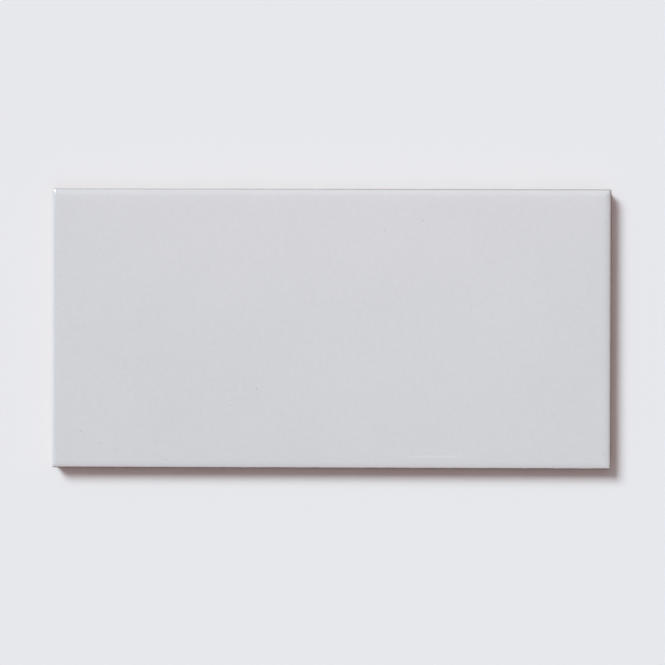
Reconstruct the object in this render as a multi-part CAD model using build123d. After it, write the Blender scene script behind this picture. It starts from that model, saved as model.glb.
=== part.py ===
from build123d import *
import math
import os

# A dust-pressed ceramic wall tile, glazed on its face and lying face up on its keyed back.
# Sizes are in millimetres and angles in degrees. The origin is the centre of the back:
# +X runs along the long side, +Y along the short side and +Z out of the glazed face.

# The tile over all
TILE_LENGTH = 200.0
TILE_WIDTH = 100.0
TILE_THICKNESS = 7.0

# The cushion edge, on which the face rolls over in a wide shallow arc,
# and the arris, the small round that takes the cushion into the side
CUSHION_WIDTH = 2.5
CUSHION_RADIUS = 6.0
ARRIS_RADIUS = 0.4

# The sides lean in towards the bevelled back, so that the pressed tile leaves its die
SIDE_DRAFT = 1.5
BACK_BEVEL = 0.8
CORNER_RADIUS = 0.6

# The key: a waffle of shallow pockets for the adhesive, inside a plain rim as wide as KEY_RIM.
# KEY_PITCH is what the pockets come nearest to when a whole number of them fills the back.
KEY_RIM = 6.0
KEY_PITCH = 10.0
KEY_RIB = 2.0
KEY_DEPTH = 0.6
KEY_DRAFT = 35.0

# How far the cushion has turned down where the arris takes over, so that the two arcs run smoothly together
EDGE_TURN = math.degrees(math.asin((CUSHION_WIDTH - ARRIS_RADIUS) / (CUSHION_RADIUS - ARRIS_RADIUS)))

# The heights of the centres of the two arcs
CUSHION_CENTRE = TILE_THICKNESS - CUSHION_RADIUS
ARRIS_CENTRE = CUSHION_CENTRE + (CUSHION_RADIUS - ARRIS_RADIUS) * math.cos(math.radians(EDGE_TURN))

# The upright axis about which the +X +Y corner is turned
CORNER_X = TILE_LENGTH / 2 - CORNER_RADIUS
CORNER_Y = TILE_WIDTH / 2 - CORNER_RADIUS


def cross_section(size):
    """The tile cut square across its middle, with the back along the section's own X axis."""
    half = size / 2
    cushion = CenterArc((half - CUSHION_WIDTH, CUSHION_CENTRE), CUSHION_RADIUS, 90, -EDGE_TURN)
    arris_turn = 90 - EDGE_TURN + SIDE_DRAFT
    arris = CenterArc((half - ARRIS_RADIUS, ARRIS_CENTRE), ARRIS_RADIUS, 90 - EDGE_TURN, -arris_turn)
    side_top = arris @ 1
    heel = side_top.X - (side_top.Y - BACK_BEVEL) * math.tan(math.radians(SIDE_DRAFT))
    side_and_back = Polyline(side_top, (heel, BACK_BEVEL), (heel - BACK_BEVEL, 0), (0, 0))
    face = Line((0, TILE_THICKNESS), cushion @ 0)
    outline = face + cushion + arris + side_and_back
    return make_face(outline + mirror(outline, about=Plane.YZ))


def mitred_blank():
    """The tile with sharp corners: its two cross sections, drawn out well past it and crossed."""
    long_bar = extrude(Plane.XZ.offset(-TILE_WIDTH) * cross_section(TILE_LENGTH), 2 * TILE_WIDTH)
    cross_bar = extrude(Plane.YZ.offset(-TILE_LENGTH) * cross_section(TILE_WIDTH), 2 * TILE_LENGTH)
    return long_bar & cross_bar


def corner_post():
    """The square column of one corner, as high as the tile."""
    column = Box(CORNER_RADIUS, CORNER_RADIUS, TILE_THICKNESS, align=(Align.MIN, Align.MIN, Align.MIN))
    return Pos(CORNER_X, CORNER_Y, 0) * column


def corner_round():
    """The edge of the cross section, turned a quarter about one corner's axis."""
    strip = Pos(CORNER_X, 0) * Rectangle(CORNER_RADIUS, TILE_THICKNESS, align=(Align.MIN, Align.MIN))
    edge = Plane.XZ.offset(-CORNER_Y) * (cross_section(TILE_LENGTH) & strip)
    return revolve(edge, Axis((CORNER_X, CORNER_Y, 0), (0, 0, 1)), 90)


def at_four_corners(corner):
    """A shape at the +X +Y corner, repeated at the other three."""
    pair = corner + mirror(corner, about=Plane.YZ)
    return pair + mirror(pair, about=Plane.XZ)


def pressed_blank():
    """The tile before its back is keyed: crossed bars with turned corners."""
    return mitred_blank() - at_four_corners(corner_post()) + at_four_corners(corner_round())


def key_spacing(size):
    """How many pockets lie along one side of the back, and their true pitch there."""
    span = size - 2 * KEY_RIM + KEY_RIB
    count = round(span / KEY_PITCH)
    return count, span / count


def key_pockets():
    """The waffle's pockets, which narrow towards their floors."""
    columns, pitch_x = key_spacing(TILE_LENGTH)
    rows, pitch_y = key_spacing(TILE_WIDTH)
    pocket = extrude(Rectangle(pitch_x - KEY_RIB, pitch_y - KEY_RIB), KEY_DEPTH, taper=KEY_DRAFT)
    return GridLocations(pitch_x, pitch_y, columns, rows) * pocket


wall_tile = pressed_blank() - key_pockets()

os.makedirs("parts", exist_ok=True)
export_step(wall_tile, "parts/wall_tile.step")
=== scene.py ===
import math

import bpy
import numpy as np
from mathutils import Matrix, Vector, noise


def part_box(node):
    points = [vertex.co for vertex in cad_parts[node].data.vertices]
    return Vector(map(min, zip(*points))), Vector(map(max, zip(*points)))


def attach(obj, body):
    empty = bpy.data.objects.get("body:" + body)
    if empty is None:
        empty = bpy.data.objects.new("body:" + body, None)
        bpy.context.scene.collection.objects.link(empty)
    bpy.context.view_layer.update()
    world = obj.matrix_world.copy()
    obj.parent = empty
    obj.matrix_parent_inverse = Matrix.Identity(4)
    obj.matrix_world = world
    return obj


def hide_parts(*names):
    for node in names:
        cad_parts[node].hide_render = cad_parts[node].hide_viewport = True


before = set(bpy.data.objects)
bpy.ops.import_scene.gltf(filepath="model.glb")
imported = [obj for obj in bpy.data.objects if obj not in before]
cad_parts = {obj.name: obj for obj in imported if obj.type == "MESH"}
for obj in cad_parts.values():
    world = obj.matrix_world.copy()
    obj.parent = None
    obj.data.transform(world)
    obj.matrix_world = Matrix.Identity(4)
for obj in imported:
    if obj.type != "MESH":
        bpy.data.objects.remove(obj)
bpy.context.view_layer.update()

# A glazed wall tile, lying face up on a pale floor.
# Shapes are worked out in millimetres, in the frame of the CAD model, and made in metres.
MM = 0.001
TILE_NODE = "wall_tile"

# The tile over all, from the CAD model
node_low, node_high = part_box(TILE_NODE)
LENGTH, WIDTH, THICKNESS = ((node_high - node_low) / MM)[:]

# The CAD model's edges: a shallow cushion round the face, and the small round of its arris
CUSHION_WIDTH = 2.5
CUSHION_RADIUS = 6.0
ARRIS_RADIUS = 0.4
CORNER_RADIUS = 0.6
SIDE_DRAFT = math.radians(1.5)
BACK_BEVEL = 0.8

# The CAD model's key: a waffle of shallow pockets in the back
KEY_RIM = 6.0
KEY_PITCH = 10.0
KEY_RIB = 2.0
KEY_DEPTH = 0.6
KEY_WALL = KEY_DEPTH * math.tan(math.radians(35))

# Where the two arcs of the edge meet, how far in that is, and how high the arris ends
EDGE_TURN = math.asin((CUSHION_WIDTH - ARRIS_RADIUS) / (CUSHION_RADIUS - ARRIS_RADIUS))
ARRIS_REACH = ARRIS_RADIUS * (1 - math.sin(EDGE_TURN))
SHOULDER = THICKNESS - CUSHION_RADIUS + (CUSHION_RADIUS - ARRIS_RADIUS) * math.cos(EDGE_TURN)

# A corner rounded as a power curve, which is cut back as far as the CAD model's turned corner
CORNER_CUT = CORNER_RADIUS * (1 - math.sqrt(0.5))
CORNER_POWER = -math.log(2) / math.log(1 - CORNER_CUT / CUSHION_WIDTH)

# The glaze softens the crease from each corner into the face, so that the corner's tip falls away.
# It draws a little lower towards three of the edges. It has pooled along the left one, where it fills
# the cushion, less and less within the last FILL_FADE before a corner.
CREASE_POWER = 8.0
TIP_FALL = 3.0
ROLL_WIDTH = 5.0
ROLL_DROP = 0.1
FILL_POWER = 3.0
FILL_FADE = 8.0
RIM_HEIGHT = SHOULDER - ROLL_DROP

# How closely the shapes are drawn: steps, rows, and lines at distances in from a pocket's mouth
FACE_STEP = 0.85
CUSHION_STEPS = 10
ARRIS_STEPS = 8
CLAY_ROWS = 8
BEVEL_STAGES = (0.3, 0.7, 1.0)
POCKET_LINES = np.array([-0.15, 0.05, 0.2, 0.35, 0.5, 0.7])
BACK_BORDER = 2.0
SHARP_ANGLE = math.radians(50)

# The slow waves of the glaze on the face, and the ripples on them
WAVE_LENGTH = 14.0
WAVE_HEIGHT = 0.006
RIPPLE_LENGTH = 6.4
RIPPLE_HEIGHT = 0.003

# The glaze's lip on the sides, where it stops: how deep it hangs, how that swings and runs down,
# and how it rounds in as it ends, as shares of its depth with their insets
LIP_DEPTH = 0.7
LIP_LEAST = 0.25
LIP_SWING = 0.35
LIP_SWING_LENGTH = 17.0
LIP_RIPPLE = 0.175
LIP_RIPPLE_LENGTH = 5.0
LIP_RUNS = 0.9
LIP_RUN_LENGTH = 8.0
LIP_RUN_RARITY = 0.3
LIP_STAGES = ((0.4, 0.0), (0.8, 0.01), (0.94, 0.04), (1.0, 0.10))
LIP_UNDERSIDE = 0.04
GLAZE_COAT = 0.14

# The pressed clay: its grain on the sides and back, the crumbled edge of the back, and softened pockets
GRAIN_HEIGHT = 0.035
SIDE_GRAIN_LENGTH = 2.6
SIDE_GRAIN_SHIFT = (3.1, -2.3)
BACK_GRAIN_LENGTH = 3.0
CRUMBLE_DEPTH = 0.22
CRUMBLE_LENGTH = 4.0
CRUMBLE_RARITY = 0.25
POCKET_ROUNDING = 0.12

# Seeds that keep the noises apart
WAVE_SEED, RIPPLE_SEED = 0.5, 3.5
LIP_SWING_SEED, LIP_RIPPLE_SEED, LIP_RUN_SEED = 7.5, 9.5, 12.5
SIDE_SEED, CRUMBLE_SEED, BACK_SEED = 20.5, 31.5, 41.5

# Pinholes in the glaze, which bare the clay: places on the face, as the photograph shows them
PINHOLES = (
    (-89.5, -37.1),
    (-82.5, -41.3),
    (-76.8, -43.9),
    (-58.5, -47.1),
    (-35.7, -27.2),
    (-26.6, -21.5),
    (18.8, 34.8),
    (32.7, 38.8),
    (97.1, -44.3),
)
PINHOLE_RADIUS = 0.15
PINHOLE_DEPTH = 0.12
PINHOLE_SIDES = 8
PINHOLE_THROAT = 0.8

# Where the glaze is thin over the arris: full and fading distances in from an edge, and how thin.
# On the right and in front, the edges that face away from the light, the thin band is partly painted shade.
# Behind it thins more towards the right. At the right and in front a narrower dark line is painted shade.
# At the right and in front the thin band is partly painted shade
THIN_AND_SHADE_RIGHT = (0.45, 1.25)
THIN_AND_SHADE_RIGHT_SHARE = 0.55
THIN_AND_SHADE_FRONT = (0.30, 0.60)
THIN_AND_SHADE_FRONT_SHARE = 0.30
THIN_BEHIND = (0.35, 0.68)
THIN_BEHIND_SHARES = (0.65, 0.95)
SHADE_LINE_RIGHT = (0.28, 0.46)
SHADE_LINE_FRONT = (0.27, 0.42)
THIN_RAGGED = 0.2
THIN_RAGGED_LENGTH = 3.0
THIN_DROP = 0.25

# The glaze's surface: clouds and a fine mottle in its colour, patches of gloss, and a faint orange peel.
# A spread is the middle part of a noise that is drawn out over its pattern's whole range.
CLOUD_LENGTH = 40.0
CLOUD_SPREAD = (0.3, 0.7)
MOTTLE_LENGTH = 1.3
MOTTLE_SHARE = 0.6
GLOSS_LENGTH = 9.0
GLOSS_SPREAD = (0.2, 0.8)
GLOSS_ROUGHNESS = (0.02, 0.04)
PEEL_LENGTH = 2.4
PEEL_DEPTH = 0.01
PEEL_STRENGTH = 0.25

# The clay's surface: clouds, dark grains, grit, and pale dust on what stands proud of the back
CLAY_CLOUD_LENGTH = 7.0
CLAY_GRAIN_LENGTH = 0.5
CLAY_GRAIN_SPREAD = (0.62, 0.72)
CLAY_GRIT_LENGTH = 0.35
CLAY_GRIT_DEPTH = 0.08
CLAY_GRIT_STRENGTH = 0.6
CLAY_ROUGHNESS = 0.9
CLAY_SHEEN = 0.25
DUST_PATCH_LENGTH = 6.0
DUST_PATCH_SPREAD = (0.42, 0.58)
DUST_HEIGHTS = (0.02, 0.25)
DUST_SHARE = 0.7

# Colours in linear light
GLAZE_LIGHT = (0.656, 0.667, 0.697, 1)
GLAZE_DARK = (0.630, 0.642, 0.672, 1)
# Thin glaze over the arris; on the right and front edges partly painted shade
GLAZE_THIN_AND_SHADE = (0.40, 0.34, 0.34, 1)
# Painted shade: the dark line along the right and front edges, which face away from the light
PAINTED_SHADE_LINE = (0.16, 0.095, 0.075, 1)
CLAY_RED = (0.31, 0.175, 0.13, 1)
CLAY_PALE = (0.39, 0.245, 0.19, 1)
CLAY_DARK = (0.18, 0.095, 0.07, 1)
CLAY_DUST = (0.72, 0.62, 0.55, 1)
FLOOR_COLOUR = (0.799, 0.807, 0.838, 1)

# The camera, almost square above the tile
CAMERA_LENS = 120.0
CAMERA_PLACE = Vector((0.01072, -0.00264, 0.79937))
CAMERA_AIM = Vector((0.00036, -0.00143, 0.0))
CAMERA_ROLL = math.radians(0.1595)

# The main light: broad and slightly cool, from behind the left corner
SUN_AZIMUTH = math.radians(42.9)
SUN_ELEVATION = math.radians(45.5)
SUN_SPREAD = math.radians(25.0)
SUN_STRENGTH = 3.06
SUN_COLOUR = (0.92, 1.02, 1.035)

# The surround: dim and slightly warm, as pale as the floor at the horizon, with two soft patches of light
SURROUND_COLOUR = (1.20, 0.96, 0.93)
SURROUND_LEVEL = 0.195
HORIZON_RISE = math.radians(8.0)
OVERHEAD_LEVEL = 1.1
OVERHEAD_LEAN = math.radians(15.0)
OVERHEAD_REACH = math.radians(19.0)
FRONT_LEVEL = 0.8
FRONT_LEAN = math.radians(-30.0)
FRONT_REACH = math.radians(22.0)

# A small lamp beside the camera, for the glint along the front edge
GLINT_PLACE = Vector((0.0915, -0.1505, 1.605))
GLINT_TARGET = Vector((0.0364, -0.0455, 0.007))
GLINT_SIZE = (0.058, 0.008)
GLINT_POWER = 0.0036
FLOOR_RADIUS = 30.0


def ripple(x, y, length, seed):
    """Smooth noise between -1 and 1 at each place, with swells about as long as length."""
    places = zip(np.ravel(x) / length, np.ravel(y) / length)
    values = [noise.noise(Vector((u, v, seed))) for u, v in places]
    return np.reshape(values, np.shape(x))


def face_lines(half):
    """Grid lines along one axis of the face: even over the flat, closing up towards the outline."""
    flat = half - CUSHION_WIDTH
    even = np.linspace(-flat, flat, 2 * round(flat / FACE_STEP) + 1)
    cushion_turns = np.linspace(0, EDGE_TURN, CUSHION_STEPS + 1)[1:]
    arris_turns = np.linspace(EDGE_TURN, math.pi / 2, ARRIS_STEPS + 1)[1:]
    cushion = flat + CUSHION_RADIUS * np.sin(cushion_turns)
    arris = half - ARRIS_RADIUS * (1 - np.sin(arris_turns))
    edge = np.concatenate([cushion, arris])
    return np.concatenate([-edge[::-1], even, edge])


def edge_height(inset):
    """The height of the edge at a distance in from the outline: tip of a corner, arris, then cushion."""
    tip = SHOULDER + TIP_FALL * np.minimum(inset, 0)
    arris = tip + np.sqrt(np.maximum(ARRIS_RADIUS**2 - (ARRIS_RADIUS - inset) ** 2, 0))
    on_cushion = np.clip(CUSHION_WIDTH - inset, 0, CUSHION_WIDTH)
    cushion = THICKNESS - CUSHION_RADIUS + np.sqrt(CUSHION_RADIUS**2 - on_cushion**2)
    return np.where(inset < ARRIS_REACH, arris, cushion)


def into_border(places, half, width):
    """How far into a border of the face each place lies: 0 at its inner edge and 1 on the outline."""
    return np.clip((np.abs(places) - half) / width + 1, 0, 1)


def joined(along_x, along_y, power):
    """Two distances as one, rounded where both count: a power curve in place of a right angle."""
    return (along_x**power + along_y**power) ** (1 / power)


def rounded(places, half, shrink):
    """Places along one axis, with their share of the cushion shrunk towards the flat."""
    flat = half - CUSHION_WIDTH
    inner = np.clip(places, -flat, flat)
    return inner + (places - inner) * shrink


def face_points():
    """The glazed face: a grid that rolls over on the cushion and turns the corners."""
    x, y = np.meshgrid(face_lines(LENGTH / 2), face_lines(WIDTH / 2), indexing="ij")
    along_x = into_border(x, LENGTH / 2, CUSHION_WIDTH)
    along_y = into_border(y, WIDTH / 2, CUSHION_WIDTH)
    ring = np.maximum(along_x, along_y)
    shrink = np.where(ring > 0, ring / np.maximum(joined(along_x, along_y, CORNER_POWER), 1e-9), 1)
    fill_share = 1 - into_border(y, WIDTH / 2, FILL_FADE)
    filled = np.where(x < 0, along_x ** (FILL_POWER**fill_share), along_x)
    softened = shrink * joined(filled, along_y, CREASE_POWER)
    x = rounded(x, LENGTH / 2, shrink)
    y = rounded(y, WIDTH / 2, shrink)
    roll_x = into_border(x, LENGTH / 2, ROLL_WIDTH) * (x > 0)
    roll_y = into_border(y, WIDTH / 2, ROLL_WIDTH)
    roll = ROLL_DROP * np.minimum(joined(roll_x, roll_y, CREASE_POWER), 1) ** 2
    waves = WAVE_HEIGHT * ripple(x, y, WAVE_LENGTH, WAVE_SEED)
    waves += RIPPLE_HEIGHT * ripple(x, y, RIPPLE_LENGTH, RIPPLE_SEED)
    z = edge_height(CUSHION_WIDTH * (1 - softened)) - roll + waves * (1 - ring**2)
    return np.stack([x, y, z], axis=-1)


def lip_depths(x, y):
    """How far below the shoulder the glaze ends, column by column round the tile."""
    depth = LIP_DEPTH + LIP_SWING * ripple(x, y, LIP_SWING_LENGTH, LIP_SWING_SEED)
    depth += LIP_RIPPLE * ripple(x, y, LIP_RIPPLE_LENGTH, LIP_RIPPLE_SEED)
    depth += LIP_RUNS * np.maximum(ripple(x, y, LIP_RUN_LENGTH, LIP_RUN_SEED) - LIP_RUN_RARITY, 0)
    return np.maximum(depth, LIP_LEAST)


def side_rows(x, y, rim):
    """The sides from the rim of the face to the back: for each row, insets and heights of its columns."""
    lip = lip_depths(x, y)
    slant = math.tan(SIDE_DRAFT)
    rows = [(inset + slant * share * lip, rim - share * lip) for share, inset in LIP_STAGES]
    top = rim - lip - LIP_UNDERSIDE
    shift_x, shift_y = SIDE_GRAIN_SHIFT
    for row in range(CLAY_ROWS):
        height = top + (BACK_BEVEL - top) * row / (CLAY_ROWS - 1)
        grain = GRAIN_HEIGHT * ripple(x + row * shift_x, y + row * shift_y, SIDE_GRAIN_LENGTH, SIDE_SEED)
        rows.append((GLAZE_COAT + slant * (rim - height) + grain, height))
    heel = rows[-1][0]
    crumble = CRUMBLE_DEPTH * np.maximum(ripple(x, y, CRUMBLE_LENGTH, CRUMBLE_SEED) - CRUMBLE_RARITY, 0)
    for share in BEVEL_STAGES:
        rows.append((heel + BACK_BEVEL * share + crumble, np.full_like(heel, BACK_BEVEL * (1 - share))))
    return rows


def pull_in(places, half, inset):
    """Outline places along one axis, moved in from the outline by inset."""
    return rounded(places, half, 1 - inset / CUSHION_WIDTH)


def key_spacing(size):
    """How many pockets lie along one side of the back, and their pitch there."""
    span = size - 2 * KEY_RIM + KEY_RIB
    count = round(span / KEY_PITCH)
    return count, span / count


def key_lines(size):
    """Grid lines along one axis of the back: over each pocket's ribs, walls and floor."""
    count, pitch = key_spacing(size)
    mouth = (pitch - KEY_RIB) / 2
    half_pocket = np.concatenate([[pitch / 2], mouth - POCKET_LINES, [mouth / 2]])
    pocket = np.concatenate([-half_pocket[1:], [0], half_pocket[::-1]])
    centres = (np.arange(count) - (count - 1) / 2) * pitch
    lines = (centres[:, None] + pocket).ravel()
    edge = size / 2 - BACK_BORDER
    return np.concatenate([[-edge, centres[0] - pitch / 2], lines, [edge]])


def pocket_share(places, size):
    """How deep each place is into a pocket along one axis: 0 on a rib and 1 on a floor."""
    count, pitch = key_spacing(size)
    centre = np.clip(np.round(places / pitch), -(count // 2), count // 2) * pitch
    mouth = (pitch - KEY_RIB) / 2
    sunk = (mouth + POCKET_ROUNDING - np.abs(places - centre)) / (KEY_WALL + 2 * POCKET_ROUNDING)
    sunk = np.clip(sunk, 0, 1)
    return sunk**2 * (3 - 2 * sunk)


def back_points():
    """The keyed back: a grid that rises into the waffle's pockets."""
    x, y = np.meshgrid(key_lines(LENGTH), key_lines(WIDTH), indexing="ij")
    depth = pocket_share(x, LENGTH) * pocket_share(y, WIDTH)
    grain = GRAIN_HEIGHT * np.abs(ripple(x, y, BACK_GRAIN_LENGTH, BACK_SEED))
    return np.stack([x, y, KEY_DEPTH * depth + grain * depth], axis=-1)


def grid_faces(columns, rows, first):
    """The four-sided faces of a grid of points, seen from above, that starts at vertex first."""
    numbers = first + np.arange(columns * rows).reshape(columns, rows)
    corners = [numbers[:-1, :-1], numbers[1:, :-1], numbers[1:, 1:], numbers[:-1, 1:]]
    return np.stack(corners, axis=-1).reshape(-1, 4)


def grid_rim(columns, rows, first):
    """The vertices round a grid's edge, anticlockwise from its lowest corner."""
    numbers = first + np.arange(columns * rows).reshape(columns, rows)
    return np.concatenate([numbers[:, 0], numbers[-1, 1:], numbers[-2::-1, -1], numbers[0, -2:0:-1]])


def turn_about(points, rim):
    """How far round the tile each rim vertex is, in radians from the first."""
    angles = np.arctan2(points[rim, 1] / WIDTH, points[rim, 0] / LENGTH)
    return np.unwrap(angles) - angles[0]


def joined_rims(points, outer, inner):
    """Triangles, facing down, that fill the strip between two rims."""
    outer_turn = np.append(turn_about(points, outer), 2 * math.pi)
    inner_turn = np.append(turn_about(points, inner), 2 * math.pi)
    outer = np.append(outer, outer[0])
    inner = np.append(inner, inner[0])
    triangles = []
    a = b = 0
    while a < len(outer) - 1 or b < len(inner) - 1:
        outer_next = b == len(inner) - 1 or (a < len(outer) - 1 and outer_turn[a + 1] <= inner_turn[b + 1])
        if outer_next:
            triangles.append((outer[a], inner[b], outer[a + 1]))
            a += 1
        else:
            triangles.append((outer[a], inner[b], inner[b + 1]))
            b += 1
    return triangles


def pinhole(corners, points, first):
    """One pinhole in place of a face: its new points, the faces round it and those inside it."""
    centre = points[list(corners)].mean(axis=0)
    first_turn = -0.75 * math.pi
    angles = first_turn + np.arange(PINHOLE_SIDES) * 2 * math.pi / PINHOLE_SIDES
    circle = np.stack([np.cos(angles), np.sin(angles), 0 * angles], axis=-1)
    down = np.array([0, 0, -PINHOLE_DEPTH])
    mouth = centre + PINHOLE_RADIUS * circle
    throat = centre + PINHOLE_THROAT * (PINHOLE_RADIUS * circle + down)
    made = np.concatenate([mouth, throat, [centre + down]])
    inside = []
    for k in range(PINHOLE_SIDES):
        this, following = first + k, first + (k + 1) % PINHOLE_SIDES
        inside.append((this, following, following + PINHOLE_SIDES, this + PINHOLE_SIDES))
        inside.append((this + PINHOLE_SIDES, following + PINHOLE_SIDES, first + 2 * PINHOLE_SIDES))
    around = []
    for side in range(4):
        here, there = corners[side], corners[(side + 1) % 4]
        left, middle, right = (first + (2 * side + step) % PINHOLE_SIDES for step in range(3))
        around += [(here, there, middle), (here, middle, left), (there, right, middle)]
    return made, around, inside


def cell_under(place):
    """The column and row of the face's grid cell that holds a place."""
    column = np.searchsorted(face_lines(LENGTH / 2), place[0]) - 1
    row = np.searchsorted(face_lines(WIDTH / 2), place[1]) - 1
    return column, row


def glazed_face():
    """The face: its points, its faces, those inside its pinholes and the vertices round its edge."""
    face = face_points()
    columns, rows = face.shape[:2]
    points = face.reshape(-1, 3)
    faces = grid_faces(columns, rows, 0)
    holes = [column * (rows - 1) + row for column, row in map(cell_under, PINHOLES)]
    hole_corners = faces[holes].tolist()
    faces = np.delete(faces, holes, axis=0).tolist()
    bare_and_painted_shade = []
    for corners in hole_corners:
        made, around, inside = pinhole(corners, points, len(points))
        points = np.concatenate([points, made])
        faces += around
        bare_and_painted_shade += inside
    return points, faces, bare_and_painted_shade, grid_rim(columns, rows, 0)


def with_sides(points, rim):
    """The points with the sides' rows added under a rim, a band of faces for each row, and the last rim."""
    bands = []
    x, y, z = points[rim].T
    for inset, height in side_rows(x, y, z):
        row_points = [pull_in(x, LENGTH / 2, inset), pull_in(y, WIDTH / 2, inset), height]
        lower = len(points) + np.arange(len(rim))
        points = np.concatenate([points, np.stack(row_points, axis=-1)])
        band = np.stack([rim, lower, np.roll(lower, -1), np.roll(rim, -1)], axis=-1)
        bands.append(band.tolist())
        rim = lower
    return points, bands, rim


def with_back(points, rim):
    """The points with the keyed back added inside the lowest rim, and its faces."""
    back = back_points()
    columns, rows = back.shape[:2]
    first = len(points)
    points = np.concatenate([points, back.reshape(-1, 3)])
    faces = grid_faces(columns, rows, first)[:, ::-1].tolist()
    faces += joined_rims(points, rim, grid_rim(columns, rows, first))
    return points, faces


def tile_mesh():
    """The whole tile as one closed mesh: points, glazed faces and bare clay faces."""
    points, glazed, clay, rim = glazed_face()
    points, bands, rim = with_sides(points, rim)
    points, back = with_back(points, rim)
    for number, band in enumerate(bands):
        if number < len(LIP_STAGES):
            glazed += band
        else:
            clay += band
    return points, glazed, clay + back


def make_tile(glaze, clay_body):
    """The tile as one object with its glaze and its bare clay."""
    points, glazed, clay = tile_mesh()
    mesh = bpy.data.meshes.new("glazed_wall_tile")
    mesh.from_pydata((points * MM).tolist(), [], glazed + clay)
    mesh.materials.append(glaze)
    mesh.materials.append(clay_body)
    mesh.polygons.foreach_set("material_index", [0] * len(glazed) + [1] * len(clay))
    mesh.polygons.foreach_set("use_smooth", [True] * len(mesh.polygons))
    mesh.set_sharp_from_angle(angle=SHARP_ANGLE)
    mesh.update()
    tile = bpy.data.objects.new("glazed_wall_tile", mesh)
    bpy.context.scene.collection.objects.link(tile)
    return tile


def set_socket(tree, socket, value):
    """Sets a node's input to a value, or links it to another node's output."""
    if isinstance(value, bpy.types.NodeSocket):
        tree.links.new(value, socket)
    else:
        socket.default_value = value


def add_node(tree, kind, inputs=None, **settings):
    """A shader node with its settings, and with its inputs set or linked."""
    made = tree.nodes.new(kind)
    for name, value in settings.items():
        setattr(made, name, value)
    for name, value in (inputs or {}).items():
        set_socket(tree, made.inputs[name], value)
    return made


def add_noise(tree, place, length_mm, detail=2.0):
    """Noise between 0 and 1, with swells about as long as length_mm."""
    inputs = {"Vector": place, "Scale": 1 / (length_mm * MM), "Detail": detail}
    return add_node(tree, "ShaderNodeTexNoise", inputs).outputs["Fac"]


def add_range(tree, value, low, high, out_low=0.0, out_high=1.0):
    """A value taken smoothly from the range low to high into another range."""
    inputs = {"Value": value, "From Min": low, "From Max": high, "To Min": out_low, "To Max": out_high}
    made = add_node(tree, "ShaderNodeMapRange", inputs, interpolation_type="SMOOTHSTEP")
    return made.outputs["Result"]


def add_mix(tree, share, first, second):
    """A colour between two others, from the sockets that the node keeps for colours."""
    made = add_node(tree, "ShaderNodeMix", {0: share, 6: first, 7: second}, data_type="RGBA")
    return made.outputs[2]


def add_math(tree, operation, first, second):
    """Two values put together."""
    return add_node(tree, "ShaderNodeMath", {0: first, 1: second}, operation=operation).outputs[0]


def new_material(name):
    """An empty material, with its node tree, its shader and the place on the object."""
    material = bpy.data.materials.new(name)
    material.use_nodes = True
    tree = material.node_tree
    place = add_node(tree, "ShaderNodeTexCoord").outputs["Object"]
    return material, tree, tree.nodes["Principled BSDF"], place


def add_greatest(tree, values):
    """The greatest of several values."""
    greatest = values[0]
    for value in values[1:]:
        greatest = add_math(tree, "MAXIMUM", greatest, value)
    return greatest


def add_distance(tree, edge, axis, ragged):
    """How far in from an edge each place lies along one axis, made ragged."""
    across = add_math(tree, "SUBTRACT", axis, edge * MM)
    return add_math(tree, "ADD", add_math(tree, "ABSOLUTE", across, 0.0), ragged)


def add_fade(tree, distance, reach, share=1.0):
    """A share that is full within the first distance of a reach and gone at its second."""
    near, far = reach
    return add_range(tree, distance, near * MM, far * MM, share, 0.0)


def thin_glaze_and_painted_shade(tree, place):
    """How thin the glaze is at each place, partly painted shade, and the share of the dark line of painted
    shade.
    """
    axes = add_node(tree, "ShaderNodeSeparateXYZ", {"Vector": place}).outputs
    swings = add_noise(tree, place, THIN_RAGGED_LENGTH, detail=3.0)
    ragged = add_math(tree, "MULTIPLY", swings, THIN_RAGGED * MM)
    right = add_distance(tree, LENGTH / 2, axes["X"], ragged)
    front = add_distance(tree, -WIDTH / 2, axes["Y"], ragged)
    behind = add_distance(tree, WIDTH / 2, axes["Y"], ragged)
    behind_share = add_range(tree, axes["X"], -LENGTH / 2 * MM, LENGTH / 2 * MM, *THIN_BEHIND_SHARES)
    thin_behind = add_math(tree, "MULTIPLY", add_fade(tree, behind, THIN_BEHIND), behind_share)
    # Thin glaze at the right and in front, partly painted shade on these edges in shade
    thin_and_shade_right = add_fade(tree, right, THIN_AND_SHADE_RIGHT, THIN_AND_SHADE_RIGHT_SHARE)
    thin_and_shade_front = add_fade(tree, front, THIN_AND_SHADE_FRONT, THIN_AND_SHADE_FRONT_SHARE)
    thin_and_shade = add_greatest(tree, [thin_and_shade_right, thin_and_shade_front, thin_behind])
    # A dark line of painted shade at the right and in front, the edges in shade
    bare_and_painted_shade = add_greatest(tree, [add_fade(tree, right, SHADE_LINE_RIGHT), add_fade(tree, front, SHADE_LINE_FRONT)])
    on_arris = add_range(tree, axes["Z"], (RIM_HEIGHT - THIN_DROP) * MM, RIM_HEIGHT * MM)
    return add_math(tree, "MULTIPLY", thin_and_shade, on_arris), add_math(tree, "MULTIPLY", bare_and_painted_shade, on_arris)


def add_bump(tree, height, strength, depth_mm):
    """A surface made uneven by a height between 0 and 1."""
    inputs = {"Height": height, "Strength": strength, "Distance": depth_mm * MM}
    return add_node(tree, "ShaderNodeBump", inputs).outputs["Normal"]


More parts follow.
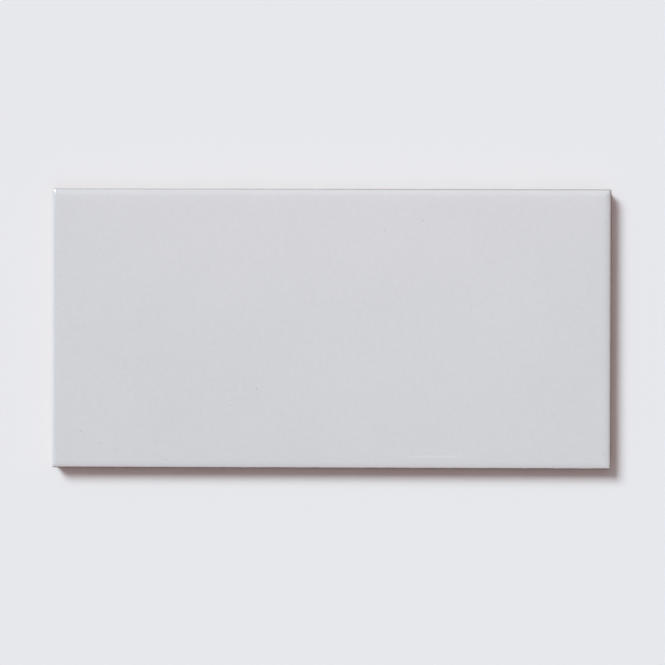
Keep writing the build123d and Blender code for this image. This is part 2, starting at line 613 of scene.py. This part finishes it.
def glaze_material():
    """Gloss grey glaze, faintly clouded and mottled, that thins over the arris, with painted shade along the
    right and front edges.
    """
    material, tree, shader, place = new_material("grey_glaze")
    clouds = add_range(tree, add_noise(tree, place, CLOUD_LENGTH), *CLOUD_SPREAD)
    mottle = add_range(tree, add_noise(tree, place, MOTTLE_LENGTH), *CLOUD_SPREAD)
    cloudy = add_mix(tree, clouds, GLAZE_DARK, GLAZE_LIGHT)
    mottled = add_mix(tree, mottle, GLAZE_DARK, GLAZE_LIGHT)
    colour = add_mix(tree, MOTTLE_SHARE, cloudy, mottled)
    thin_and_shade, bare_and_painted_shade = thin_glaze_and_painted_shade(tree, place)
    # Thin glaze over the arris, partly painted shade on the right and front edges
    colour = add_mix(tree, thin_and_shade, colour, GLAZE_THIN_AND_SHADE)
    # Painted shade: a dark line along the right and front edges
    colour = add_mix(tree, bare_and_painted_shade, colour, PAINTED_SHADE_LINE)
    set_socket(tree, shader.inputs["Base Color"], colour)
    gloss = add_range(tree, add_noise(tree, place, GLOSS_LENGTH), *GLOSS_SPREAD, *GLOSS_ROUGHNESS)
    matt = add_math(tree, "MULTIPLY", bare_and_painted_shade, CLAY_ROUGHNESS)
    set_socket(tree, shader.inputs["Roughness"], add_greatest(tree, [gloss, matt]))
    peel = add_noise(tree, place, PEEL_LENGTH, detail=1.0)
    set_socket(tree, shader.inputs["Normal"], add_bump(tree, peel, PEEL_STRENGTH, PEEL_DEPTH))
    return material


def clay_material():
    """Bare pressed red clay: grainy, uneven in colour, with pale dust on what stands proud of the back."""
    material, tree, shader, place = new_material("red_clay")
    clouds = add_range(tree, add_noise(tree, place, CLAY_CLOUD_LENGTH, detail=3.0), *CLOUD_SPREAD)
    colour = add_mix(tree, clouds, CLAY_RED, CLAY_PALE)
    grains = add_range(tree, add_noise(tree, place, CLAY_GRAIN_LENGTH, detail=1.0), *CLAY_GRAIN_SPREAD)
    colour = add_mix(tree, grains, colour, CLAY_DARK)
    height = add_node(tree, "ShaderNodeSeparateXYZ", {"Vector": place}).outputs["Z"]
    low = add_fade(tree, height, DUST_HEIGHTS, DUST_SHARE)
    patches = add_range(tree, add_noise(tree, place, DUST_PATCH_LENGTH, detail=4.0), *DUST_PATCH_SPREAD)
    colour = add_mix(tree, add_math(tree, "MULTIPLY", low, patches), colour, CLAY_DUST)
    set_socket(tree, shader.inputs["Base Color"], colour)
    set_socket(tree, shader.inputs["Roughness"], CLAY_ROUGHNESS)
    set_socket(tree, shader.inputs["Specular IOR Level"], CLAY_SHEEN)
    grit = add_noise(tree, place, CLAY_GRIT_LENGTH, detail=3.0)
    set_socket(tree, shader.inputs["Normal"], add_bump(tree, grit, CLAY_GRIT_STRENGTH, CLAY_GRIT_DEPTH))
    return material


def floor_material():
    """The plain pale floor."""
    material = bpy.data.materials.new("pale_floor")
    material.use_nodes = True
    shader = material.node_tree.nodes["Principled BSDF"]
    shader.inputs["Base Color"].default_value = FLOOR_COLOUR
    shader.inputs["Roughness"].default_value = 1.0
    shader.inputs["Specular IOR Level"].default_value = 0.0
    return material


def make_floor():
    """A wide level floor under the tile."""
    mesh = bpy.data.meshes.new("floor")
    r = FLOOR_RADIUS
    mesh.from_pydata([(-r, -r, 0), (r, -r, 0), (r, r, 0), (-r, r, 0)], [], [(0, 1, 2, 3)])
    mesh.materials.append(floor_material())
    floor = bpy.data.objects.new("floor", mesh)
    bpy.context.scene.collection.objects.link(floor)
    return floor


def aim(thing, place, target, roll=0.0):
    """Puts a camera or lamp in its place, looking at a target, with +Y up in its picture."""
    back = (place - target).normalized()
    right = Vector((0, 1, 0)).cross(back).normalized()
    turned = Matrix((right, back.cross(right), back)).transposed() @ Matrix.Rotation(roll, 3, "Z")
    thing.matrix_world = Matrix.Translation(place) @ turned.to_4x4()


def make_camera():
    """The camera, as the photograph was taken."""
    data = bpy.data.cameras.new("camera")
    data.lens = CAMERA_LENS
    camera = bpy.data.objects.new("camera", data)
    bpy.context.scene.collection.objects.link(camera)
    aim(camera, CAMERA_PLACE, CAMERA_AIM, CAMERA_ROLL)
    bpy.context.scene.camera = camera


def make_sun():
    """The main light, as broad as a large softbox across a room."""
    lamp = bpy.data.lights.new("sun", "SUN")
    lamp.energy = SUN_STRENGTH
    lamp.angle = SUN_SPREAD
    lamp.color = SUN_COLOUR
    sun = bpy.data.objects.new("sun", lamp)
    bpy.context.scene.collection.objects.link(sun)
    level = math.cos(SUN_ELEVATION)
    towards = Vector((-math.sin(SUN_AZIMUTH) * level, math.cos(SUN_AZIMUTH) * level, math.sin(SUN_ELEVATION)))
    aim(sun, towards, Vector((0, 0, 0)))


def make_glint():
    """The small lamp beside the camera."""
    lamp = bpy.data.lights.new("glint", "AREA")
    lamp.shape = "RECTANGLE"
    lamp.size, lamp.size_y = GLINT_SIZE
    lamp.energy = GLINT_POWER
    glint = bpy.data.objects.new("glint", lamp)
    bpy.context.scene.collection.objects.link(glint)
    aim(glint, GLINT_PLACE, GLINT_TARGET)


def add_patch(tree, direction, lean, reach):
    """A soft round patch of the surround, from 1 at its centre to 0 at its edge, leaning towards +Y."""
    centre = (0, math.sin(lean), math.cos(lean))
    facing = add_node(tree, "ShaderNodeVectorMath", {0: direction, 1: centre}, operation="DOT_PRODUCT")
    return add_range(tree, facing.outputs["Value"], math.cos(reach), 1.0)


def make_surround():
    """The surround with its patches of light."""
    world = bpy.data.worlds.new("surround")
    bpy.context.scene.world = world
    world.use_nodes = True
    tree = world.node_tree
    direction = add_node(tree, "ShaderNodeTexCoord").outputs["Generated"]
    overhead = add_patch(tree, direction, OVERHEAD_LEAN, OVERHEAD_REACH)
    front = add_patch(tree, direction, FRONT_LEAN, FRONT_REACH)
    level = add_math(tree, "ADD", SURROUND_LEVEL, add_math(tree, "MULTIPLY", overhead, OVERHEAD_LEVEL))
    level = add_math(tree, "ADD", level, add_math(tree, "MULTIPLY", front, FRONT_LEVEL))
    above = add_node(tree, "ShaderNodeVectorMath", {0: SURROUND_COLOUR, "Scale": level}, operation="SCALE")
    height = add_node(tree, "ShaderNodeSeparateXYZ", {"Vector": direction}).outputs["Z"]
    rise = add_range(tree, height, 0.0, math.sin(HORIZON_RISE))
    colour = add_mix(tree, rise, FLOOR_COLOUR, above.outputs["Vector"])
    set_socket(tree, tree.nodes["Background"].inputs["Color"], colour)


bpy.context.scene.view_settings.view_transform = "Standard"

tile = make_tile(glaze_material(), clay_material())
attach(tile, "root")
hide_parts(TILE_NODE)

make_floor()
make_camera()
make_sun()
make_glint()
make_surround()
